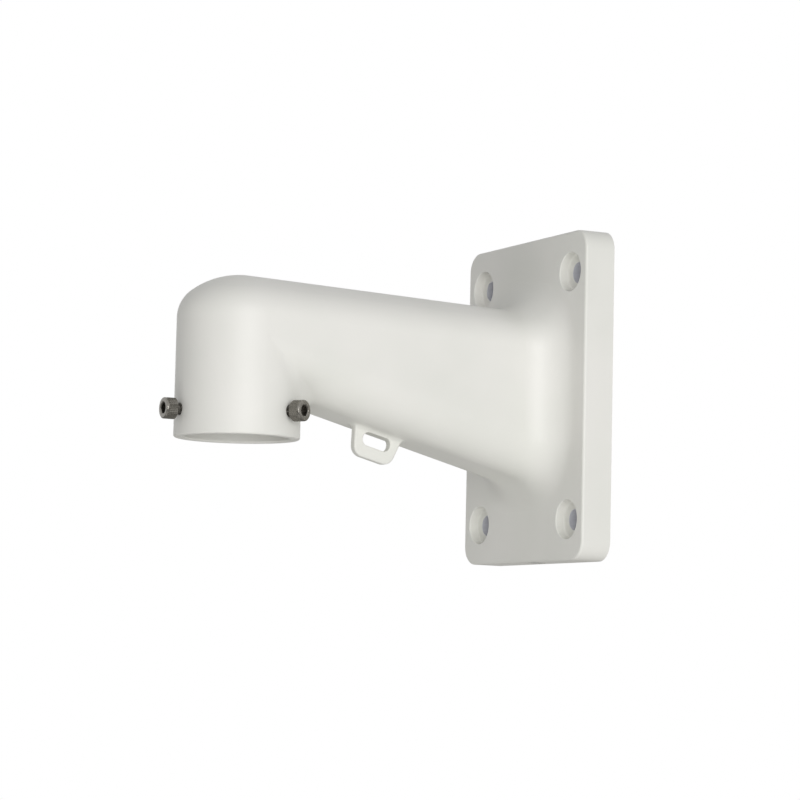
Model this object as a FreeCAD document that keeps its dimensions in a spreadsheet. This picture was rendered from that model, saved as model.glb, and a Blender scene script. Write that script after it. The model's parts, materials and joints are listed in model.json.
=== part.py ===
import FreeCAD, Part
import math
import os
import Sketcher

# Wall bracket for a dome camera: one aluminium casting and three collar screws.
# Millimetres. The origin is the middle of the plate's back face, which lies on the wall.
# X runs along the wall, Y points into the wall, Z points up.

SIZES = [
    # wall plate
    ("plate_width", 113.0),
    ("plate_height", 160.5),
    ("plate_thickness", 16.0),
    ("plate_corner_radius", 9.5),
    ("plate_draft_degrees", 0.5),
    ("plate_edge_round", 1.2),
    ("plate_rim_width", 5.0),
    ("plate_skin", 4.5),
    ("recess_corner_radius", 3.0),
    # wall screw holes
    ("hole_from_side", 14.75),
    ("hole_from_end", 20.0),
    ("hole_diameter", 10.2),
    ("counterbore_diameter", 19.0),
    ("counterbore_depth", 5.0),
    ("counterbore_floor_round", 1.2),
    ("counterbore_mouth_round", 0.5),
    ("boss_diameter", 24.0),
    # stiffening ribs behind the plate
    ("rib_thickness", 3.5),
    ("rib_end_across", 23.0),
    ("rib_end_up", 34.5),
    # cable entry in the plate's lower edge
    ("entry_diameter", 9.6),
    ("entry_from_wall", 6.6),
    ("entry_chamfer", 0.5),
    # collar and its dome
    ("reach", 172.5),
    ("bore_diameter", 50.0),
    ("collar_wall", 4.75),
    ("pipe_stop_ledge", 0.75),
    ("collar_drop", 28.0),
    ("collar_rim_round", 1.0),
    ("bore_depth", 34.0),
    ("bore_chamfer", 0.8),
    ("dome_height", 49.2),
    ("crown_radius", 38.5),
    ("shoulder_radius", 16.0),
    # hollow arm
    ("arm_height_at_collar", 50.5),
    ("arm_top_slope_degrees", 1.9),
    ("arm_underside_slope_degrees", 14.5),
    ("arm_keel_radius", 20.0),
    ("root_fillet", 17.0),
    ("collar_fillet", 6.0),
    # safety cable lug
    ("lug_from_collar", 76.9),
    ("lug_base_width", 26.5),
    ("lug_drop", 14.2),
    ("lug_side_degrees", 12.0),
    ("lug_corner_radius", 5.5),
    ("lug_thickness", 4.4),
    ("lug_root_fillet", 3.0),
    ("lug_edge_round", 0.9),
    ("slot_length", 15.0),
    ("slot_height", 6.5),
    ("slot_gap", 1.7),
    ("slot_corner_radius", 3.0),
    ("slot_edge_round", 0.5),
    # collar screws
    ("screw_drop", 15.9),
    ("thread_diameter", 6.0),
    ("thread_clearance", 0.1),
    ("thread_length", 6.0),
    ("tip_chamfer", 0.7),
    ("head_diameter", 10.0),
    ("head_length", 6.0),
    ("head_standoff", 2.3),
    ("head_round", 0.6),
    ("socket_across_flats", 5.0),
    ("socket_depth", 3.0),
]

doc = FreeCAD.newDocument("WallBracket")
sheet = doc.addObject("Spreadsheet::Sheet", "Sizes")
for row, (alias, value) in enumerate(SIZES, start=1):
    sheet.set(f"A{row}", alias)
    sheet.set(f"B{row}", str(value))
    sheet.setAlias(f"B{row}", alias)
doc.recompute()


def number(formula):
    """The present value of a formula of named sizes."""
    result = sheet.evalExpression(formula)
    return float(getattr(result, "Value", result))


# Formulas that several sub-parts share
COLLAR_RADIUS = "(Sizes.bore_diameter / 2 + Sizes.collar_wall)"
ARM_WALL = "(Sizes.collar_wall + Sizes.pipe_stop_ledge)"
HOLE_ACROSS = "(Sizes.plate_width / 2 - Sizes.hole_from_side)"
HOLE_UP = "(Sizes.plate_height / 2 - Sizes.hole_from_end)"
ARM_BOTTOM = "(Sizes.dome_height - Sizes.arm_height_at_collar)"
TOP_FALL = "Sizes.reach * tan(Sizes.arm_top_slope_degrees * 1deg)"
BOTTOM_FALL = "Sizes.reach * tan(Sizes.arm_underside_slope_degrees * 1deg)"
RECESS_DEPTH = "Sizes.plate_thickness - Sizes.plate_skin"


def origin_plane(body, role):
    return next(item for item in body.Origin.OriginFeatures if item.Role == role)


def new_sketch(body, name, role, **offsets):
    """A sketch on an origin plane, shifted in the plane's own frame by named formulas."""
    sketch = body.newObject("Sketcher::SketchObject", name)
    sketch.AttachmentSupport = [(origin_plane(body, role), "")]
    sketch.MapMode = "FlatFace"
    for path, formula in offsets.items():
        sketch.setExpression("AttachmentOffset." + path.replace("_", "."), formula)
    return sketch


def dimension(sketch, kind, where, formula):
    """A driving dimension that follows a formula."""
    index = sketch.addConstraint(Sketcher.Constraint(kind, *where, number(formula)))
    sketch.setExpression(f"Constraints[{index}]", formula)


def place_point(sketch, geometry, position, across, up):
    """Dimension a point from the sketch's origin."""
    dimension(sketch, "DistanceX", (-1, 1, geometry, position), across)
    dimension(sketch, "DistanceY", (-1, 1, geometry, position), up)


def add_circle(sketch, across, up, radius):
    centre = FreeCAD.Vector(number(across), number(up), 0)
    circle = Part.Circle(centre, FreeCAD.Vector(0, 0, 1), number(radius))
    index = sketch.addGeometry(circle, False)
    dimension(sketch, "Radius", (index,), radius)
    place_point(sketch, index, 3, across, up)
    return index


def add_arc(sketch, centre, radius, start, end):
    circle = Part.Circle(FreeCAD.Vector(*centre), FreeCAD.Vector(0, 0, 1), radius)
    return sketch.addGeometry(Part.ArcOfCircle(circle, start, end), False)


def add_line(sketch, start, end):
    return sketch.addGeometry(Part.LineSegment(FreeCAD.Vector(*start), FreeCAD.Vector(*end)), False)


def add_polygon(sketch, corners):
    """A closed outline, counterclockwise. Each corner is (across, up, radius or None), as formulas."""
    count = len(corners)
    points = [FreeCAD.Vector(number(across), number(up), 0) for across, up, _ in corners]
    starts = []
    ends = []
    arcs = []
    for i, point in enumerate(points):
        before = (points[i - 1] - point).normalize()
        after = (points[(i + 1) % count] - point).normalize()
        half_angle = before.getAngle(after) / 2
        radius = number(corners[i][2]) if corners[i][2] else 0.0
        starts.append(point + before * (radius / math.tan(half_angle)))
        ends.append(point + after * (radius / math.tan(half_angle)))
        centre = point + (before + after).normalize() * (radius / math.sin(half_angle))
        arcs.append((centre, radius, after.cross(before).z > 0))
    lines = [add_line(sketch, ends[i], starts[(i + 1) % count]) for i in range(count)]
    for i, (across, up, radius) in enumerate(corners):
        mark = sketch.addGeometry(Part.Point(points[i]), True)
        place_point(sketch, mark, 1, across, up)
        if not radius:
            sketch.addConstraint(Sketcher.Constraint("Coincident", lines[i - 1], 2, lines[i], 1))
            sketch.addConstraint(Sketcher.Constraint("Coincident", mark, 1, lines[i], 1))
            continue
        centre, size, turns_left = arcs[i]
        first, last = (starts[i], ends[i]) if turns_left else (ends[i], starts[i])
        first_angle = math.atan2(first.y - centre.y, first.x - centre.x)
        last_angle = math.atan2(last.y - centre.y, last.x - centre.x)
        if last_angle < first_angle:
            last_angle += 2 * math.pi
        arc = add_arc(sketch, centre, size, first_angle, last_angle)
        near, far = (1, 2) if turns_left else (2, 1)
        sketch.addConstraint(Sketcher.Constraint("Tangent", lines[i - 1], 2, arc, near))
        sketch.addConstraint(Sketcher.Constraint("Tangent", arc, far, lines[i], 1))
        sketch.addConstraint(Sketcher.Constraint("PointOnObject", mark, 1, lines[i - 1]))
        sketch.addConstraint(Sketcher.Constraint("PointOnObject", mark, 1, lines[i]))
        dimension(sketch, "Radius", (arc,), radius)


def crown_angle(half_width, shoulder, crown):
    """The angle at which the shoulder arc runs into the crown arc."""
    return math.acos((half_width - shoulder) / (crown - shoulder))


def add_arm_section(sketch, half_width, top, bottom, inset):
    """Section across the arm: crowned top, round shoulders, straight sides, round keel edges."""
    crown = f"Sizes.crown_radius - {inset}"
    shoulder = f"Sizes.shoulder_radius - {inset}"
    keel = f"Sizes.arm_keel_radius - {inset}"
    w, zt, zb = number(half_width), number(top), number(bottom)
    rc, rs, rk = number(crown), number(shoulder), number(keel)
    phi = crown_angle(w, rs, rc)
    zs = zt - rc + (rc - rs) * math.sin(phi)
    floor = add_line(sketch, (rk - w, zb), (w - rk, zb))
    right_keel = add_arc(sketch, (w - rk, zb + rk), rk, -math.pi / 2, 0)
    right_side = add_line(sketch, (w, zb + rk), (w, zs))
    right_shoulder = add_arc(sketch, (w - rs, zs), rs, 0, phi)
    crown_arc = add_arc(sketch, (0, zt - rc), rc, phi, math.pi - phi)
    left_shoulder = add_arc(sketch, (rs - w, zs), rs, math.pi - phi, math.pi)
    left_side = add_line(sketch, (-w, zs), (-w, zb + rk))
    left_keel = add_arc(sketch, (rk - w, zb + rk), rk, math.pi, math.pi * 1.5)
    ring = [floor, right_keel, right_side, right_shoulder, crown_arc, left_shoulder, left_side, left_keel]
    for current, following in zip(ring, ring[1:] + ring[:1]):
        sketch.addConstraint(Sketcher.Constraint("Tangent", current, 2, following, 1))
    sketch.addConstraint(Sketcher.Constraint("Horizontal", floor))
    sketch.addConstraint(Sketcher.Constraint("Vertical", right_side))
    sketch.addConstraint(Sketcher.Constraint("Vertical", left_side))
    sketch.addConstraint(Sketcher.Constraint("Equal", right_keel, left_keel))
    sketch.addConstraint(Sketcher.Constraint("Equal", right_shoulder, left_shoulder))
    sketch.addConstraint(Sketcher.Constraint("PointOnObject", crown_arc, 3, -2))
    dimension(sketch, "Radius", (right_keel,), keel)
    dimension(sketch, "Radius", (right_shoulder,), shoulder)
    dimension(sketch, "Radius", (crown_arc,), crown)
    dimension(sketch, "DistanceY", (-1, 1, crown_arc, 3), f"{top} - ({crown})")
    dimension(sketch, "DistanceY", (-1, 1, floor, 1), bottom)
    dimension(sketch, "DistanceX", (-1, 1, right_side, 1), half_width)
    dimension(sketch, "DistanceX", (left_side, 2, -1, 1), half_width)


def add_dome_profile(sketch, radius, top, bottom, inset):
    """Half profile of the collar and its dome, from the collar axis outward."""
    crown = f"Sizes.crown_radius - {inset}"
    shoulder = f"Sizes.shoulder_radius - {inset}"
    w, zt, zb = number(radius), number(top), number(bottom)
    rc, rs = number(crown), number(shoulder)
    phi = crown_angle(w, rs, rc)
    zs = zt - rc + (rc - rs) * math.sin(phi)
    rim = add_line(sketch, (0, zb), (w, zb))
    side = add_line(sketch, (w, zb), (w, zs))
    shoulder_arc = add_arc(sketch, (w - rs, zs), rs, 0, phi)
    crown_arc = add_arc(sketch, (0, zt - rc), rc, phi, math.pi / 2)
    axis = add_line(sketch, (0, zt), (0, zb))
    sketch.addConstraint(Sketcher.Constraint("Coincident", rim, 2, side, 1))
    sketch.addConstraint(Sketcher.Constraint("Tangent", side, 2, shoulder_arc, 1))
    sketch.addConstraint(Sketcher.Constraint("Tangent", shoulder_arc, 2, crown_arc, 1))
    sketch.addConstraint(Sketcher.Constraint("Coincident", crown_arc, 2, axis, 1))
    sketch.addConstraint(Sketcher.Constraint("Coincident", axis, 2, rim, 1))
    sketch.addConstraint(Sketcher.Constraint("Horizontal", rim))
    sketch.addConstraint(Sketcher.Constraint("Vertical", side))
    sketch.addConstraint(Sketcher.Constraint("PointOnObject", axis, 1, -2))
    sketch.addConstraint(Sketcher.Constraint("PointOnObject", axis, 2, -2))
    sketch.addConstraint(Sketcher.Constraint("PointOnObject", crown_arc, 3, -2))
    dimension(sketch, "Radius", (shoulder_arc,), shoulder)
    dimension(sketch, "Radius", (crown_arc,), crown)
    dimension(sketch, "DistanceY", (-1, 1, crown_arc, 3), f"{top} - ({crown})")
    dimension(sketch, "DistanceX", (-1, 1, side, 1), radius)
    dimension(sketch, "DistanceY", (-1, 1, side, 1), bottom)


def add_feature(body, kind, name, sketch, **formulas):
    """A feature made from a sketch, with its own sizes bound to formulas."""
    feature = body.newObject("PartDesign::" + kind, name)
    feature.Profile = sketch
    for path, formula in formulas.items():
        feature.setExpression(path, formula)
    return feature


def add_round(body, kind, name, radius, belongs):
    """A fillet or chamfer on the present tip's edges that pass the test."""
    doc.recompute()
    base = body.Tip
    edges = [f"Edge{i}" for i, edge in enumerate(base.Shape.Edges, start=1) if belongs(edge)]
    feature = body.newObject("PartDesign::" + kind, name)
    feature.Base = (base, edges)
    feature.setExpression("Radius" if kind == "Fillet" else "Size", radius)
    doc.recompute()
    return feature


# Margins for picking edges: places that count as the same, and as near
SAME = 0.01
NEAR = 1.0


def within(value, target):
    return abs(value - target) < SAME


def lies_at(low, high, target):
    """True where an edge's extent along one axis stays at one place."""
    return within(low, target) and within(high, target)


def curve_of(edge):
    """The edge's curve, or None where it has no curve with a name."""
    try:
        return edge.Curve
    except TypeError:
        return None


def is_circle(radius, axis, place):
    """A test for circular edges of one radius, centred at one place along an axis."""

    def test(edge):
        curve = curve_of(edge)
        if not isinstance(curve, Part.Circle):
            return False
        return within(curve.Radius, radius) and within(getattr(curve.Center, axis), place)

    return test


# Places that the edge choices compare with
front_y = -number("Sizes.plate_thickness")
collar_y = -number("Sizes.reach")
rim_z = -number("Sizes.collar_drop")
half_arm = number(COLLAR_RADIUS)
half_lug = number("Sizes.lug_thickness") / 2
underside_slope = math.tan(math.radians(number("Sizes.arm_underside_slope_degrees")))

# Bracket casting: wall plate, hollow arm and collar in one piece of aluminium
casting = doc.addObject("PartDesign::Body", "Casting")
casting.Label = "bracket_casting"

# The wall plate, a slab with round corners and a little draft
plate_sketch = new_sketch(casting, "plate_outline", "XZ_Plane")
CORNERS = ((-1, -1), (1, -1), (1, 1), (-1, 1))
add_polygon(
    plate_sketch,
    [
        (f"{across} * Sizes.plate_width / 2", f"{up} * Sizes.plate_height / 2", "Sizes.plate_corner_radius")
        for across, up in CORNERS
    ],
)
plate = add_feature(
    casting,
    "Pad",
    "plate",
    plate_sketch,
    Length="Sizes.plate_thickness",
    TaperAngle="-Sizes.plate_draft_degrees * 1deg",
)

add_round(
    casting,
    "Fillet",
    "plate_edges",
    "Sizes.plate_edge_round",
    lambda edge: lies_at(edge.BoundBox.YMin, edge.BoundBox.YMax, front_y),
)

# The arm, from the plane of the collar's axis to the wall
near_section = new_sketch(casting, "arm_at_collar", "XZ_Plane", Base_z="Sizes.reach")
add_arm_section(near_section, COLLAR_RADIUS, "Sizes.dome_height", ARM_BOTTOM, "0")
far_section = new_sketch(casting, "arm_at_wall", "XZ_Plane")
add_arm_section(
    far_section, COLLAR_RADIUS, f"(Sizes.dome_height - {TOP_FALL})", f"{ARM_BOTTOM} - {BOTTOM_FALL}", "0"
)
arm = add_feature(casting, "AdditiveLoft", "arm", near_section)
arm.Sections = [far_section]
arm.Ruled = True

# The round front of the collar with its dome
dome_profile = new_sketch(casting, "dome_profile", "XZ_Plane", Base_z="Sizes.reach")
add_dome_profile(dome_profile, COLLAR_RADIUS, "Sizes.dome_height", "-Sizes.collar_drop", "0")
dome = add_feature(casting, "Revolution", "dome", dome_profile)
dome.ReferenceAxis = (dome_profile, ["V_Axis"])
dome.Angle = 180
dome.Reversed = True

# The collar's full round, up into the arm
collar_sketch = new_sketch(
    casting, "collar_outline", "XY_Plane", Base_y="-Sizes.reach", Base_z="-Sizes.collar_drop"
)
add_circle(collar_sketch, "0", "0", COLLAR_RADIUS)
collar = add_feature(
    casting, "Pad", "collar", collar_sketch, Length=f"Sizes.collar_drop + {ARM_BOTTOM} + Sizes.arm_keel_radius"
)

# The lug for the camera's safety cable, square to the arm's underside
lug_place = {
    "Base_x": "-Sizes.reach",
    "Base_y": ARM_BOTTOM,
    "Rotation_Angle": "-Sizes.arm_underside_slope_degrees * 1deg",
}
lug_sketch = new_sketch(casting, "lug_outline", "YZ_Plane", **lug_place)
lug_lean = "tan(Sizes.lug_side_degrees * 1deg)"
lug_foot = f"(Sizes.lug_base_width / 2 - Sizes.lug_drop * {lug_lean})"
lug_head = f"(Sizes.lug_base_width / 2 + {ARM_WALL} / 2 * {lug_lean})"
add_polygon(
    lug_sketch,
    [
        (f"Sizes.lug_from_collar - {lug_foot}", "-Sizes.lug_drop", "Sizes.lug_corner_radius"),
        (f"Sizes.lug_from_collar + {lug_foot}", "-Sizes.lug_drop", "Sizes.lug_corner_radius"),
        (f"Sizes.lug_from_collar + {lug_head}", f"{ARM_WALL} / 2", None),
        (f"Sizes.lug_from_collar - {lug_head}", f"{ARM_WALL} / 2", None),
    ],
)
lug = add_feature(casting, "Pad", "lug", lug_sketch, Length="Sizes.lug_thickness")
lug.SideType = "Symmetric"


def is_arm_root(edge):
    """Where the arm runs into the plate's front face."""
    box = edge.BoundBox
    return lies_at(box.YMin, box.YMax, front_y) and max(-box.XMin, box.XMax) < half_arm + NEAR


def is_collar_crease(edge):
    """Where the collar's round meets the arm's underside and keel."""
    box = edge.BoundBox
    at_collar = box.YMin > collar_y - SAME and box.YMax < collar_y + half_arm + NEAR
    faces = casting.Tip.Shape.ancestorsOfType(edge, Part.Face)
    kinds = {type(face.Surface) for face in faces}
    return at_collar and box.ZMin > rim_z + NEAR and Part.Cylinder in kinds and len(kinds) == 2


def is_on_lug(edge):
    box = edge.BoundBox
    beside_collar = box.YMin > collar_y + half_arm + NEAR
    beside_root = box.YMax < front_y - number("Sizes.root_fillet")
    return beside_collar and beside_root and max(-box.XMin, box.XMax) < half_lug + SAME


def is_lug_foot(edge):
    """Where the lug meets the arm's underside."""
    heights = [number(ARM_BOTTOM) - underside_slope * (point.Y - collar_y) for point in edge.Vertexes]
    return is_on_lug(edge) and all(within(point.Z, z) for point, z in zip(edge.Vertexes, heights))


def is_lug_outline(edge):
    """The lug's outer edges, on both of its sides."""
    box = edge.BoundBox
    on_side = lies_at(box.XMin, box.XMax, half_lug) or lies_at(box.XMin, box.XMax, -half_lug)
    return on_side and is_on_lug(edge) and not is_lug_foot(edge)


add_round(casting, "Fillet", "root_fillet", "Sizes.root_fillet", is_arm_root)
add_round(casting, "Fillet", "collar_fillet", "Sizes.collar_fillet", is_collar_crease)
add_round(casting, "Fillet", "lug_edges", "Sizes.lug_edge_round", is_lug_outline)
add_round(casting, "Fillet", "lug_root_fillet", "Sizes.lug_root_fillet", is_lug_foot)

# The slot through the lug
slot_sketch = new_sketch(casting, "slot_outline", "YZ_Plane", **lug_place)
add_polygon(
    slot_sketch,
    [
        (
            f"Sizes.lug_from_collar + {across} * Sizes.slot_length / 2",
            f"-Sizes.slot_gap - {down} * Sizes.slot_height",
            "Sizes.slot_corner_radius",
        )
        for across, down in ((-1, 1), (1, 1), (1, 0), (-1, 0))
    ],
)
slot = add_feature(casting, "Pocket", "slot", slot_sketch, Length=f"2 * {COLLAR_RADIUS}")
slot.SideType = "Symmetric"
doc.recompute()
slot_middle = slot_sketch.Placement.multVec(
    FreeCAD.Vector(number("Sizes.lug_from_collar"), -number("Sizes.slot_gap + Sizes.slot_height / 2"), 0)
)
slot_length = number("Sizes.slot_length")


def is_slot_wall(face):
    centre = face.CenterOfMass
    near = centre.distanceToPoint(slot_middle) < slot_length / 2 + SAME
    return near and within(centre.x, 0) and face.BoundBox.DiagonalLength < slot_length


def is_slot_mouth(edge):
    """The slot's edges on both sides of the lug, each the border of just one wall of the slot."""
    faces = casting.Tip.Shape.ancestorsOfType(edge, Part.Face)
    return [is_slot_wall(face) for face in faces].count(True) == 1


add_round(casting, "Fillet", "slot_edges", "Sizes.slot_edge_round", is_slot_mouth)

# The collar's outer edge at its open lower end
add_round(casting, "Fillet", "collar_rim", "Sizes.collar_rim_round", is_circle(half_arm, "z", rim_z))

# The hollow inside: dome, arm channel and machined bore
hollow_profile = new_sketch(casting, "hollow_profile", "XZ_Plane", Base_z="Sizes.reach")
add_dome_profile(
    hollow_profile,
    f"{COLLAR_RADIUS} - {ARM_WALL}",
    f"Sizes.dome_height - {ARM_WALL}",
    "-Sizes.collar_drop",
    ARM_WALL,
)
hollow = add_feature(casting, "Groove", "dome_hollow", hollow_profile)
hollow.ReferenceAxis = (hollow_profile, ["V_Axis"])
hollow.Angle = 180
hollow.Reversed = True

near_channel = new_sketch(casting, "channel_at_collar", "XZ_Plane", Base_z="Sizes.reach")
add_arm_section(
    near_channel,
    f"({COLLAR_RADIUS} - {ARM_WALL})",
    f"(Sizes.dome_height - {ARM_WALL})",
    f"{ARM_BOTTOM} + {ARM_WALL}",
    ARM_WALL,
)
far_channel = new_sketch(casting, "channel_at_wall", "XZ_Plane")
add_arm_section(
    far_channel,
    f"({COLLAR_RADIUS} - {ARM_WALL})",
    f"(Sizes.dome_height - {ARM_WALL} - {TOP_FALL})",
    f"{ARM_BOTTOM} + {ARM_WALL} - {BOTTOM_FALL}",
    ARM_WALL,
)
channel = add_feature(casting, "SubtractiveLoft", "channel", near_channel)
channel.Sections = [far_channel]
channel.Ruled = True

bore_sketch = new_sketch(casting, "bore_outline", "XY_Plane", Base_y="-Sizes.reach", Base_z="-Sizes.collar_drop")
add_circle(bore_sketch, "0", "0", "Sizes.bore_diameter / 2")
bore = add_feature(casting, "Pocket", "bore", bore_sketch, Length="Sizes.bore_depth")
bore.Reversed = True

# The back of the plate is hollowed between its rim and the four corner bosses
recess_sketch = new_sketch(casting, "recess_outline", "XZ_Plane")
inner_across = "(Sizes.plate_width / 2 - Sizes.plate_rim_width)"
inner_up = "(Sizes.plate_height / 2 - Sizes.plate_rim_width)"
boss_across = f"({HOLE_ACROSS} - Sizes.boss_diameter / 2)"
boss_up = f"({HOLE_UP} - Sizes.boss_diameter / 2)"
quarter = [
    (inner_across, boss_up, "Sizes.recess_corner_radius"),
    (boss_across, boss_up, "Sizes.boss_diameter / 2"),
    (boss_across, inner_up, "Sizes.recess_corner_radius"),
]
recess_corners = []
for across, up in ((1, 1), (-1, 1), (-1, -1), (1, -1)):
    steps = quarter if across * up > 0 else quarter[::-1]
    recess_corners += [(f"{across} * {x}", f"{up} * {z}", radius) for x, z, radius in steps]
add_polygon(recess_sketch, recess_corners)
recess = add_feature(casting, "Pocket", "recess", recess_sketch, Length=RECESS_DEPTH)
recess.Reversed = True

# Ribs from the corner bosses to the arm's wall
rib_sketch = new_sketch(casting, "rib_outlines", "XZ_Plane")
rib_run = f"({HOLE_ACROSS} - Sizes.rib_end_across)"
rib_rise = f"({HOLE_UP} - Sizes.rib_end_up)"
rib_reach = f"sqrt({rib_run} ^ 2 + {rib_rise} ^ 2)"
rib_side_across = f"(Sizes.rib_thickness / 2 * {rib_rise} / {rib_reach})"
rib_side_up = f"(Sizes.rib_thickness / 2 * {rib_run} / {rib_reach})"
rib = [
    (f"(Sizes.rib_end_across + {rib_side_across})", f"(Sizes.rib_end_up - {rib_side_up})"),
    (f"({HOLE_ACROSS} + {rib_side_across})", f"({HOLE_UP} - {rib_side_up})"),
    (f"({HOLE_ACROSS} - {rib_side_across})", f"({HOLE_UP} + {rib_side_up})"),
    (f"(Sizes.rib_end_across - {rib_side_across})", f"(Sizes.rib_end_up + {rib_side_up})"),
]
for across, up in CORNERS:
    steps = rib if across * up > 0 else rib[::-1]
    add_polygon(rib_sketch, [(f"{across} * {x}", f"{up} * {z}", None) for x, z in steps])
ribs = add_feature(casting, "Pad", "ribs", rib_sketch, Length=RECESS_DEPTH)

# Counterbored holes for the four wall screws
hole_sketch = new_sketch(casting, "wall_holes", "XZ_Plane", Base_z="Sizes.plate_thickness")
for across, up in CORNERS:
    add_circle(hole_sketch, f"{across} * {HOLE_ACROSS}", f"{up} * {HOLE_UP}", "Sizes.hole_diameter / 2")
doc.recompute()
wall_holes = add_feature(casting, "Hole", "counterbored_holes", hole_sketch)
wall_holes.DepthType = "ThroughAll"
wall_holes.DrillPoint = "Flat"
wall_holes.HoleCutType = "Counterbore"
wall_holes.HoleCutCustomValues = True
wall_holes.setExpression("Diameter", "Sizes.hole_diameter")
wall_holes.setExpression("HoleCutDiameter", "Sizes.counterbore_diameter")
wall_holes.setExpression("HoleCutDepth", "Sizes.counterbore_depth")

counterbore_radius = number("Sizes.counterbore_diameter") / 2
floor_y = front_y + number("Sizes.counterbore_depth")
add_round(
    casting,
    "Fillet",
    "counterbore_mouths",
    "Sizes.counterbore_mouth_round",
    is_circle(counterbore_radius, "y", front_y),
)
add_round(
    casting,
    "Fillet",
    "counterbore_floors",
    "Sizes.counterbore_floor_round",
    is_circle(counterbore_radius, "y", floor_y),
)

# The cable entry in the lower edge, into the recess
entry_sketch = new_sketch(
    casting, "entry_outline", "XY_Plane", Base_y="-Sizes.entry_from_wall", Base_z="-Sizes.plate_height / 2"
)
add_circle(entry_sketch, "0", "0", "Sizes.entry_diameter / 2")
entry = add_feature(
    casting, "Pocket", "cable_entry", entry_sketch, Length="Sizes.plate_rim_width + Sizes.recess_corner_radius"
)
entry.Reversed = True
lowest_z = -number("Sizes.plate_height") / 2
add_round(
    casting,
    "Chamfer",
    "entry_mouth",
    "Sizes.entry_chamfer",
    lambda edge: isinstance(curve_of(edge), Part.Ellipse) and edge.BoundBox.ZMax < lowest_z + NEAR,
)

# Threaded holes for the collar screws, evenly round the collar
SCREW_SIDES = ("front", "right", "left")
thread_sketch = new_sketch(casting, "thread_outline", "XZ_Plane", Base_z="Sizes.reach")
add_circle(thread_sketch, "0", "-Sizes.screw_drop", "(Sizes.thread_diameter + Sizes.thread_clearance) / 2")
thread = add_feature(casting, "Pocket", "screw_hole", thread_sketch, Length=f"2 * {COLLAR_RADIUS}")
thread.Reversed = True
thread_ring = casting.newObject("PartDesign::PolarPattern", "screw_holes")
thread_ring.Originals = [thread]
thread_ring.Axis = (collar_sketch, ["N_Axis"])
thread_ring.Angle = 360
thread_ring.Occurrences = len(SCREW_SIDES)
casting.Tip = thread_ring

bore_radius = number("Sizes.bore_diameter") / 2
add_round(casting, "Chamfer", "bore_mouth", "Sizes.bore_chamfer", is_circle(bore_radius, "z", rim_z))

# Collar screws: socket head screws that clamp the pipe stub in the collar
HEAD_SEAT = f"({COLLAR_RADIUS} + Sizes.head_standoff)"
HEAD_FACE = f"({HEAD_SEAT} + Sizes.head_length)"
SCREW_TIP = f"({HEAD_SEAT} - Sizes.thread_length)"


def add_collar_screw(side, turn):
    """A screw that points at the collar's axis, turned round that axis from the front."""
    screw = doc.addObject("PartDesign::Body", f"LockScrew{side.capitalize()}")
    screw.Label = f"lock_screw_{side}"
    profile = new_sketch(screw, f"{side}_screw_profile", "XY_Plane")
    add_polygon(
        profile,
        [
            ("0", f"-{HEAD_FACE}", None),
            ("Sizes.head_diameter / 2", f"-{HEAD_FACE}", None),
            ("Sizes.head_diameter / 2", f"-{HEAD_SEAT}", None),
            ("Sizes.thread_diameter / 2", f"-{HEAD_SEAT}", None),
            ("Sizes.thread_diameter / 2", f"-{SCREW_TIP} - Sizes.tip_chamfer", None),
            ("Sizes.thread_diameter / 2 - Sizes.tip_chamfer", f"-{SCREW_TIP}", None),
            ("0", f"-{SCREW_TIP}", None),
        ],
    )
    turned = add_feature(screw, "Revolution", f"{side}_screw_round", profile)
    turned.ReferenceAxis = (profile, ["V_Axis"])
    turned.Angle = 360
    socket_sketch = new_sketch(screw, f"{side}_socket_outline", "XZ_Plane", Base_z=HEAD_FACE)
    corner = "Sizes.socket_across_flats / sqrt(3)"
    add_polygon(
        socket_sketch,
        [(f"{corner} * cos({angle}deg)", f"{corner} * sin({angle}deg)", None) for angle in range(0, 360, 60)],
    )
    add_feature(screw, "Pocket", f"{side}_socket", socket_sketch, Length="Sizes.socket_depth")
    head_radius = number("Sizes.head_diameter") / 2
    face_edge = is_circle(head_radius, "y", -number(HEAD_FACE))
    add_round(screw, "Fillet", f"{side}_head_edge", "Sizes.head_round", face_edge)
    screw.Placement = FreeCAD.Placement(FreeCAD.Vector(), FreeCAD.Rotation(FreeCAD.Vector(0, 0, 1), turn))
    screw.setExpression("Placement.Base.y", "-Sizes.reach")
    screw.setExpression("Placement.Base.z", "-Sizes.screw_drop")
    return screw


screws = [
    add_collar_screw(side, index * 360 / len(SCREW_SIDES)) for index, side in enumerate(SCREW_SIDES)
]

# Check every object, then write one file for each sub-part
doc.recompute()
for item in doc.Objects:
    if "Invalid" in item.State or "Error" in item.State:
        raise RuntimeError(f"{item.Name} did not compute")
os.makedirs("parts", exist_ok=True)
for body in [casting, *screws]:
    if body.Shape.isNull() or not body.Shape.isValid():
        raise RuntimeError(f"{body.Label} has no sound shape")
    body.Shape.exportStep(f"parts/{body.Label}.step")
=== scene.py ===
import json
import math

import bmesh
import bpy
from mathutils import Matrix, Quaternion, Vector


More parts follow.
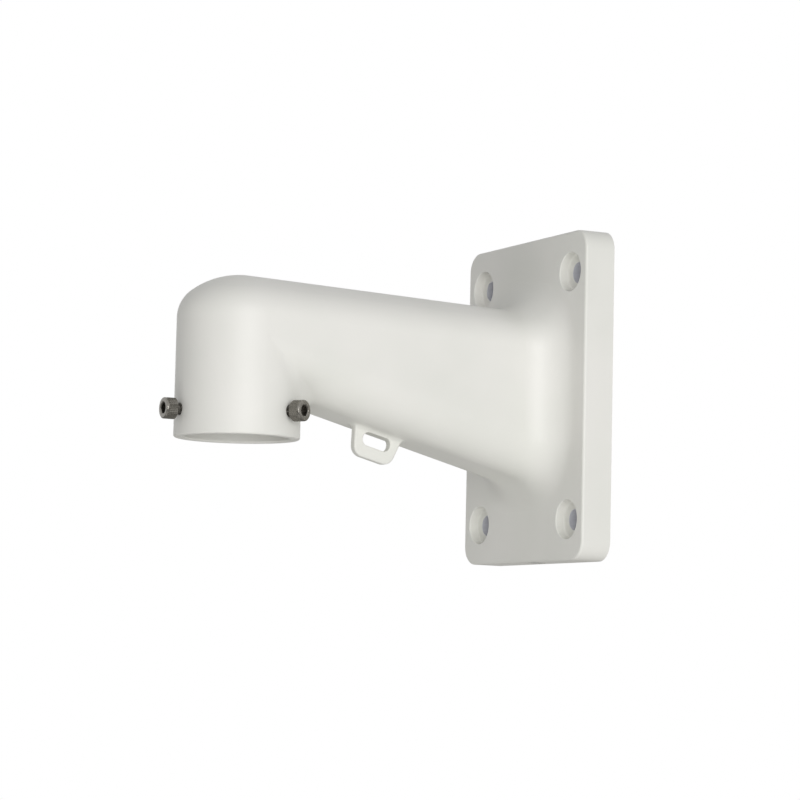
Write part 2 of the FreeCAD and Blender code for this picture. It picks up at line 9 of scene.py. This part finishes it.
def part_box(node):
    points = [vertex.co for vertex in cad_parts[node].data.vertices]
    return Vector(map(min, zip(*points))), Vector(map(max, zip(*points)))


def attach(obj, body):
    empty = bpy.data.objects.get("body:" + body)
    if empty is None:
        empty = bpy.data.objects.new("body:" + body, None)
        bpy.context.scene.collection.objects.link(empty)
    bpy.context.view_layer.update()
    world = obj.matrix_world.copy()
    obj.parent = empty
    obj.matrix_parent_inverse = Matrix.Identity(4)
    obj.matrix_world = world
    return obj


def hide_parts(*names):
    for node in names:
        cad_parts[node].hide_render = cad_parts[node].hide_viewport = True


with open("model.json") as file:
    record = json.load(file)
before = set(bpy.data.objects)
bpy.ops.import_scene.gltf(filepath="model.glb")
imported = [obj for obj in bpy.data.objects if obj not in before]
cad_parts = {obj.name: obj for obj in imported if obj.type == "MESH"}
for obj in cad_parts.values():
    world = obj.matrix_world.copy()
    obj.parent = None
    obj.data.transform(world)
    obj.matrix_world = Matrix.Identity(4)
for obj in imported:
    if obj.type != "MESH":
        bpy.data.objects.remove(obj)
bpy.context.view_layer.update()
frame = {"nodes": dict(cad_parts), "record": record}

# The bracket casting is one hollow piece of die-cast aluminium: wall plate, arm, collar and cable lug.
# It is blasted, then sprayed with white polyester powder and baked, outside and inside, so every edge
# is soft and the colour is even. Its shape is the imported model's own.

MM = 0.001


def hex_colour(text):
    """An sRGB hex value as a linear colour."""
    channels = [int(text[i:i + 2], 16) / 255 for i in (1, 3, 5)]
    return [c / 12.92 if c <= 0.04045 else ((c + 0.055) / 1.055) ** 2.4 for c in channels] + [1.0]


def add_node(tree, kind, settings=None, links=None):
    """A node with its settings, and with its inputs fed from other nodes' outputs."""
    node = tree.nodes.new(kind)
    for name, value in (settings or {}).items():
        if isinstance(name, int) or name in node.inputs:
            node.inputs[name].default_value = value
        else:
            setattr(node, name, value)
    for name, output in (links or {}).items():
        tree.links.new(output, node.inputs[name])
    return node


def add_ramp(tree, factor, *stops):
    """A colour ramp through two stops, each a position and a hex colour."""
    ramp = add_node(tree, "ShaderNodeValToRGB", links={"Fac": factor})
    for element, (position, colour) in zip(ramp.color_ramp.elements, stops):
        element.position = position
        element.color = hex_colour(colour)
    return ramp


def add_range(tree, value, old, new):
    """A value carried over from one span to another."""
    spans = {"From Min": old[0], "From Max": old[1], "To Min": new[0], "To Max": new[1]}
    return add_node(tree, "ShaderNodeMapRange", spans, {"Value": value})


def new_material(name):
    material = bpy.data.materials.new(name)
    material.use_nodes = True
    material.node_tree.nodes.clear()
    return material, material.node_tree


POWDER_WHITE = "#EEEDE8"
POWDER_SHADE = "#E9E9E3"
POWDER_IOR = 1.5
CLOUD_SIZE = 45 * MM
CLOUD_THIN, CLOUD_THICK = 0.35, 0.65
PEEL_SIZE = 1.3 * MM
PEEL_DEPTH = 0.012 * MM
PEEL_ROUGHNESS = (0.44, 0.5)
GRIT_SIZE = 0.45 * MM
GRIT_DEPTH = 0.006 * MM
NOISE_SPAN = (0.3, 0.7)
SHADE_SAMPLES = 8

# White polyester powder coat, sprayed and baked: a satin skin with a faint orange peel and fine grit,
# and a tint that drifts a little over a hand's width where the spray lay thicker
powder_coat, tree = new_material("white_powder_coat")
place = add_node(tree, "ShaderNodeTexCoord").outputs["Object"]
cloud = add_node(tree, "ShaderNodeTexNoise", {"Scale": 1 / CLOUD_SIZE, "Detail": 2.0}, {"Vector": place})
peel = add_node(tree, "ShaderNodeTexNoise", {"Scale": 1 / PEEL_SIZE, "Detail": 1.0}, {"Vector": place})
grit = add_node(tree, "ShaderNodeTexNoise", {"Scale": 1 / GRIT_SIZE, "Detail": 2.0}, {"Vector": place})
tint = add_ramp(tree, cloud.outputs["Fac"], (CLOUD_THIN, POWDER_SHADE), (CLOUD_THICK, POWDER_WHITE))
sheen = add_range(tree, peel.outputs["Fac"], NOISE_SPAN, PEEL_ROUGHNESS)
waves = add_node(tree, "ShaderNodeBump", {"Distance": PEEL_DEPTH}, {"Height": peel.outputs["Fac"]})
grain = add_node(
    tree,
    "ShaderNodeBump",
    {"Distance": GRIT_DEPTH},
    {"Height": grit.outputs["Fac"], "Normal": waves.outputs["Normal"]},
)

# Hole walls: a grey coat. Its darker grey and the cable hole's dark grey are painted shade
PLUGGED_GREY = "#DADBE1"
PLUGGED_PAINTED_SHADE = "#BDBEC4"
PLUGGED_SHUT, PLUGGED_OPEN = 0.1, 0.6
PLUGGED_ROUGHNESS = 0.5
PLUGGED_EDGE = 0.08 * MM
PLUGGED_SHADE = 9 * MM
CABLE_HOLE_PAINTED_SHADE = "#6C6C6A"
CABLE_HOLE_EDGE = 0.48 * MM
CABLE_HOLE_SCALE = (1, 1, 0.5)

mounts = {mount["name"]: mount for mount in frame["record"]["mounts"]}
wall_holes = mounts["wall_screws"]["dims"]
wall_hole_place = (wall_holes["spacing_x_mm"] / 2 * MM, 0, wall_holes["spacing_y_mm"] / 2 * MM)
wall_hole_radius = wall_holes["hole_r_mm"] * MM + PLUGGED_EDGE
cable_hole_place = mounts["cable_entry"]["pos_m"]
cable_hole_radius = mounts["cable_entry"]["dims"]["r_mm"] * MM + CABLE_HOLE_EDGE

# The four wall holes and the cable hole are plugged while the powder is sprayed, so their walls keep the
# casting's grey conversion coat: dull and cooler than the powder. Painted shade darkens that grey inwards,
# where the holes are shut in. Bare are the points nearer a wall hole's axis than its radius, and those in
# a ball, drawn out along its hole, round the cable entry. The cable hole's wall is painted darker still,
# as painted shade for the shade it lies in under the plate.
folded = add_node(tree, "ShaderNodeVectorMath", {"operation": "ABSOLUTE"}, {0: place})
from_axis = add_node(
    tree, "ShaderNodeVectorMath", {"operation": "SUBTRACT", 1: wall_hole_place}, {0: folded.outputs["Vector"]}
)
across = add_node(
    tree, "ShaderNodeVectorMath", {"operation": "MULTIPLY", 1: (1, 0, 1)}, {0: from_axis.outputs["Vector"]}
)
wall_distance = add_node(tree, "ShaderNodeVectorMath", {"operation": "LENGTH"}, {0: across.outputs["Vector"]})
in_wall_hole = add_node(
    tree,
    "ShaderNodeMath",
    {"operation": "LESS_THAN", 1: wall_hole_radius},
    {0: wall_distance.outputs["Value"]},
)
from_entry = add_node(
    tree, "ShaderNodeVectorMath", {"operation": "SUBTRACT", 1: cable_hole_place}, {0: place}
)
drawn_out = add_node(
    tree,
    "ShaderNodeVectorMath",
    {"operation": "MULTIPLY", 1: CABLE_HOLE_SCALE},
    {0: from_entry.outputs["Vector"]},
)
entry_distance = add_node(
    tree, "ShaderNodeVectorMath", {"operation": "LENGTH"}, {0: drawn_out.outputs["Vector"]}
)
in_entry = add_node(
    tree,
    "ShaderNodeMath",
    {"operation": "LESS_THAN", 1: cable_hole_radius},
    {0: entry_distance.outputs["Value"]},
)
bare = add_node(
    tree,
    "ShaderNodeMath",
    {"operation": "MAXIMUM"},
    {0: in_wall_hole.outputs["Value"], 1: in_entry.outputs["Value"]},
)
open_sky = add_node(
    tree, "ShaderNodeAmbientOcclusion", {"Distance": PLUGGED_SHADE, "samples": SHADE_SAMPLES}
)
# Painted shade: the hole walls' grey darkens where ambient occlusion finds them shut in
hole_grey_and_shade = add_ramp(tree, open_sky.outputs["AO"], (PLUGGED_SHUT, PLUGGED_PAINTED_SHADE), (PLUGGED_OPEN, PLUGGED_GREY))
# Painted shade: the cable hole's wall takes a flat dark grey for the shade it lies in under the plate
hole_walls_and_shade = add_node(
    tree,
    "ShaderNodeMixRGB",
    {"Color2": hex_colour(CABLE_HOLE_PAINTED_SHADE)},
    {"Fac": in_entry.outputs["Value"], "Color1": hole_grey_and_shade.outputs["Color"]},
)
colour = add_node(
    tree,
    "ShaderNodeMixRGB",
    links={
        "Fac": bare.outputs["Value"],
        "Color1": tint.outputs["Color"],
        "Color2": hole_walls_and_shade.outputs["Color"],
    },
)
roughness = add_node(
    tree,
    "ShaderNodeMix",
    {"B": PLUGGED_ROUGHNESS},
    {"Factor": bare.outputs["Value"], "A": sheen.outputs["Result"]},
)
skin = add_node(
    tree,
    "ShaderNodeBsdfPrincipled",
    {"IOR": POWDER_IOR},
    {
        "Base Color": colour.outputs["Color"],
        "Roughness": roughness.outputs["Result"],
        "Normal": grain.outputs["Normal"],
    },
)
add_node(tree, "ShaderNodeOutputMaterial", links={"Surface": skin.outputs["BSDF"]})

casting = frame["nodes"]["bracket_casting"]
for material_slot in casting.material_slots:
    material_slot.material = powder_coat

# The collar screws are three M6 socket head screws of plated steel, evenly round the collar. Each is
# cold forged: a knurled head with a plain rim and a six-sided socket, and a rolled thread of 1 mm
# pitch that runs in the collar's tapped hole. They stand off a little, because no camera is clamped.

SCREW_SIDES = ("front", "right", "left")
POINTS_AROUND = 144
HEAD_RADIUS = 5.0 * MM
HEAD_LENGTH = 6.0 * MM
RIM_ROUND = 0.6 * MM
RIM_STEPS = 5
PLAIN_RIM = 1.3 * MM
KNURL_TEETH = 36
KNURL_DEPTH = 0.22 * MM
KNURL_RUN_IN = 0.2 * MM
SEAT_CHAMFER = 0.3 * MM
SOCKET_FLATS = 5.0 * MM
SOCKET_DEPTH = 3.0 * MM
SOCKET_MOUTH = 3.1 * MM
SOCKET_CHAMFER = 0.35 * MM
THREAD_LENGTH = 6.0 * MM
THREAD_PITCH = 1.0 * MM
THREAD_RADIUS = 3.0 * MM
THREAD_DEPTH = 0.6 * MM
THREAD_ROOT_SHARE = 0.25
THREAD_CREST_SHARE = 0.125
THREAD_STEPS = 8
TIP_CHAMFER = 0.7 * MM
SHARP_ANGLE = math.radians(28)


def socket_wall(along, angle):
    """The six flats of the socket; a corner lies at angle 0."""
    return SOCKET_FLATS / 2 / math.cos(angle % (math.pi / 3) - math.pi / 6)


def knurled_side(along, angle):
    """Straight knurl: V grooves pressed into the head's side, their crests left at its full radius."""
    tooth = abs(2 * (angle * KNURL_TEETH / (2 * math.pi) % 1.0) - 1)
    return HEAD_RADIUS - KNURL_DEPTH * tooth


def threaded_side(along, angle):
    """Right-hand thread: flanks between a narrow crest and a wider root, cut off by the tip's chamfer."""
    turn = (along / THREAD_PITCH - angle / (2 * math.pi)) % 1.0
    flank = (abs(2 * turn - 1) - THREAD_ROOT_SHARE) / (1 - THREAD_ROOT_SHARE - THREAD_CREST_SHARE)
    depth = THREAD_DEPTH * (1 - min(max(flank, 0.0), 1.0))
    chamfer = THREAD_RADIUS - TIP_CHAMFER + along + THREAD_LENGTH
    return min(THREAD_RADIUS - depth, chamfer)


def plain_side(radius):
    return lambda along, angle: radius


# Rings of the screw, each with its distance outward from the head's seat, from the socket's floor to
# the face, over the head and down the thread
rings = [
    (HEAD_LENGTH - SOCKET_DEPTH, socket_wall),
    (HEAD_LENGTH - SOCKET_CHAMFER, socket_wall),
    (HEAD_LENGTH, plain_side(SOCKET_MOUTH)),
]
for step in range(RIM_STEPS + 1):
    bend = math.pi / 2 * step / RIM_STEPS
    rim_radius = HEAD_RADIUS - RIM_ROUND * (1 - math.sin(bend))
    rings.append((HEAD_LENGTH - RIM_ROUND * (1 - math.cos(bend)), plain_side(rim_radius)))
rings.append((HEAD_LENGTH - PLAIN_RIM, plain_side(HEAD_RADIUS)))
rings.append((HEAD_LENGTH - PLAIN_RIM - KNURL_RUN_IN, knurled_side))
rings.append((SEAT_CHAMFER, knurled_side))
rings.append((0.0, plain_side(HEAD_RADIUS - KNURL_DEPTH - SEAT_CHAMFER)))
for step in range(round(THREAD_LENGTH / THREAD_PITCH) * THREAD_STEPS + 1):
    rings.append((-step * THREAD_PITCH / THREAD_STEPS, threaded_side))


def screw_mesh(seat):
    """One screw that points at the collar's axis from the front, its head's seat at this distance."""
    mesh = bpy.data.meshes.new("collar_screw")
    shape = bmesh.new()
    turns = [2 * math.pi * i / POINTS_AROUND for i in range(POINTS_AROUND)]
    rows = []
    for along, side in rings:
        points = [(side(along, a) * math.cos(a), -seat - along, side(along, a) * math.sin(a)) for a in turns]
        rows.append([shape.verts.new(point) for point in points])
    for row, following in zip(rows, rows[1:]):
        for i in range(POINTS_AROUND):
            shape.faces.new((row[i - 1], row[i], following[i], following[i - 1]))
    for row in (rows[0], rows[-1]):
        middle = shape.verts.new((0, row[0].co.y, 0))
        for i in range(POINTS_AROUND):
            shape.faces.new((row[i - 1], row[i], middle))
    bmesh.ops.recalc_face_normals(shape, faces=shape.faces)
    for face in shape.faces:
        face.smooth = True
    for edge in shape.edges:
        edge.smooth = edge.calc_face_angle(0.0) < SHARP_ANGLE
    shape.to_mesh(mesh)
    shape.free()
    return mesh


# The darker steel grey below is painted shade for the screws' hollows
STEEL_GREY = "#84817B"
STEEL_PAINTED_SHADE = "#4A4742"
STEEL_SHUT, STEEL_OPEN = 0.55, 0.97
STEEL_HOLLOW = 0.9 * MM
STEEL_ROUGHNESS = (0.2, 0.34)
SHADE_METAL_SPAN = (0.3, 0.9)
SCUFF_SIZE = 0.9 * MM
SPECK_SIZE = 0.2 * MM
SPECK_DEPTH = 0.004 * MM

# Zinc-nickel plate on forged steel: grey metal with a soft shine, which dulls in patches. Painted shade
# turns it dark and less metallic where it is shut in: in the knurl, the thread and the socket.
plated_steel, tree = new_material("zinc_nickel_plated_steel")
place = add_node(tree, "ShaderNodeTexCoord").outputs["Object"]
scuff = add_node(tree, "ShaderNodeTexNoise", {"Scale": 1 / SCUFF_SIZE, "Detail": 3.0}, {"Vector": place})
speck = add_node(tree, "ShaderNodeTexNoise", {"Scale": 1 / SPECK_SIZE, "Detail": 1.0}, {"Vector": place})
open_sky = add_node(
    tree, "ShaderNodeAmbientOcclusion", {"Distance": STEEL_HOLLOW, "samples": SHADE_SAMPLES}
)
# Painted shade: the steel darkens, and turns less metallic, where ambient occlusion finds it shut in
painted_hollow_shade = add_ramp(tree, open_sky.outputs["AO"], (STEEL_SHUT, STEEL_PAINTED_SHADE), (STEEL_OPEN, STEEL_GREY))
metal_out_of_shade = add_range(tree, open_sky.outputs["AO"], SHADE_METAL_SPAN, (0.0, 1.0))
shine = add_range(tree, scuff.outputs["Fac"], NOISE_SPAN, STEEL_ROUGHNESS)
plating = add_node(tree, "ShaderNodeBump", {"Distance": SPECK_DEPTH}, {"Height": speck.outputs["Fac"]})
metal = add_node(
    tree,
    "ShaderNodeBsdfPrincipled",
    links={
        "Metallic": metal_out_of_shade.outputs["Result"],
        "Base Color": painted_hollow_shade.outputs["Color"],
        "Roughness": shine.outputs["Result"],
        "Normal": plating.outputs["Normal"],
    },
)
add_node(tree, "ShaderNodeOutputMaterial", links={"Surface": metal.outputs["BSDF"]})

collar_axis = mounts["collar_bore"]["pos_m"]
front_low, front_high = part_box("lock_screw_front")
screw_height = (front_low.z + front_high.z) / 2
head_seat = collar_axis[1] - front_low.y - HEAD_LENGTH
for number, side in enumerate(SCREW_SIDES):
    screw = bpy.data.objects.new(f"collar_screw_{side}", screw_mesh(head_seat))
    bpy.context.scene.collection.objects.link(screw)
    screw.data.materials.append(plated_steel)
    turned = Matrix.Rotation(2 * math.pi * number / len(SCREW_SIDES), 4, "Z")
    screw.matrix_world = Matrix.Translation((collar_axis[0], collar_axis[1], screw_height)) @ turned
    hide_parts(f"lock_screw_{side}")
    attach(screw, "root")

# The studio: a pale floor far below the bracket, which hangs free as in a catalogue picture, a white
# background for the eye and for reflections, an even grey light from all round, and two softboxes.

FLOOR_DROP = 1.2
FLOOR_RADIUS = 16.0
FLOOR_SIDES = 96
FLOOR_PALE = "#F2F1EE"
FLOOR_GLOW = 0.5
ROOM_BELOW = 0.5
ROOM_ABOVE = 0.3
WHITE = (1, 1, 1, 1)

floor_shape = bmesh.new()
bmesh.ops.create_circle(floor_shape, cap_ends=True, segments=FLOOR_SIDES, radius=FLOOR_RADIUS)
floor_mesh = bpy.data.meshes.new("studio_floor")
floor_shape.to_mesh(floor_mesh)
floor_shape.free()
floor = bpy.data.objects.new("studio_floor", floor_mesh)
floor.location = (0, 0, -FLOOR_DROP)
bpy.context.scene.collection.objects.link(floor)

# Matt pale paper: it scatters light evenly, and to the eye it glows a little, so that it runs into
# the white behind it but still takes a shadow
paper, tree = new_material("pale_studio_paper")
seen = add_node(tree, "ShaderNodeLightPath").outputs["Is Camera Ray"]
matt = add_node(tree, "ShaderNodeBsdfDiffuse", {"Color": hex_colour(FLOOR_PALE)})
glow = add_node(tree, "ShaderNodeEmission", {"Strength": FLOOR_GLOW})
lit = add_node(tree, "ShaderNodeAddShader", links={0: matt.outputs["BSDF"], 1: glow.outputs["Emission"]})
both = add_node(
    tree, "ShaderNodeMixShader", links={0: seen, 1: matt.outputs["BSDF"], 2: lit.outputs["Shader"]}
)
add_node(tree, "ShaderNodeOutputMaterial", links={"Surface": both.outputs["Shader"]})
floor.data.materials.append(paper)

# The room is white to the eye and in reflections. Its light on the object is grey, a little weaker
# from above than from the floor's side.
world = bpy.data.worlds.new("studio_room")
world.use_nodes = True
tree = world.node_tree
tree.nodes.clear()
path = add_node(tree, "ShaderNodeLightPath").outputs
direct = add_node(
    tree, "ShaderNodeMath", {"operation": "MAXIMUM"}, {0: path["Is Camera Ray"], 1: path["Is Glossy Ray"]}
)
shown = add_node(
    tree,
    "ShaderNodeMath",
    {"operation": "MAXIMUM"},
    {0: direct.outputs["Value"], 1: path["Is Transmission Ray"]},
)
way = add_node(tree, "ShaderNodeTexCoord").outputs["Generated"]
height = add_node(tree, "ShaderNodeSeparateXYZ", links={"Vector": way})
strength = add_range(tree, height.outputs["Z"], (-1.0, 1.0), (ROOM_BELOW, ROOM_ABOVE))
fill = add_node(tree, "ShaderNodeBackground", {"Color": WHITE}, {"Strength": strength.outputs["Result"]})
white = add_node(tree, "ShaderNodeBackground", {"Color": WHITE, "Strength": 1.0})
room = add_node(
    tree,
    "ShaderNodeMixShader",
    links={0: shown.outputs["Value"], 1: fill.outputs["Background"], 2: white.outputs["Background"]},
)
add_node(tree, "ShaderNodeOutputWorld", links={"Surface": room.outputs["Shader"]})
bpy.context.scene.world = world

# Softboxes: (name, direction from the bracket, distance, width, power)
BRACKET_MIDDLE = Vector((0.0055, -0.0888, -0.0046))
SOFTBOXES = [
    ("side_softbox", (0.95, -0.21, 0.0), 1.7, 1.1, 16.8),
    ("under_softbox", (0.2, -0.5, -0.84), 0.95, 0.8, 1.3),
]
for name, direction, distance, width, power in SOFTBOXES:
    lamp = bpy.data.lights.new(name, "AREA")
    lamp.shape = "SQUARE"
    lamp.size = width
    lamp.energy = power
    softbox = bpy.data.objects.new(name, lamp)
    softbox.location = BRACKET_MIDDLE + Vector(direction).normalized() * distance
    softbox.rotation_euler = Vector(direction).to_track_quat("Z", "Y").to_euler()
    bpy.context.scene.collection.objects.link(softbox)

# The camera, a long lens a little below the bracket and to its right, held with a slight tilt
CAMERA_AZIMUTH = math.radians(61.6415)
CAMERA_ELEVATION = math.radians(-5.6292)
CAMERA_TILT = math.radians(1.2917)
CAMERA_DISTANCE = 1.31954
LENS = 122.911
SENSOR = 36.0

level_share = math.cos(CAMERA_ELEVATION)
towards_camera = Vector(
    (
        level_share * math.sin(CAMERA_AZIMUTH),
        -level_share * math.cos(CAMERA_AZIMUTH),
        math.sin(CAMERA_ELEVATION),
    )
)
lens = bpy.data.cameras.new("studio_camera")
lens.lens = LENS
lens.sensor_width = SENSOR
camera = bpy.data.objects.new("studio_camera", lens)
camera.location = BRACKET_MIDDLE + towards_camera * CAMERA_DISTANCE
camera.rotation_mode = "QUATERNION"
camera.rotation_quaternion = towards_camera.to_track_quat("Z", "Y") @ Quaternion((0, 0, 1), CAMERA_TILT)
bpy.context.scene.collection.objects.link(camera)
bpy.context.scene.camera = camera
bpy.context.scene.view_settings.view_transform = "Standard"
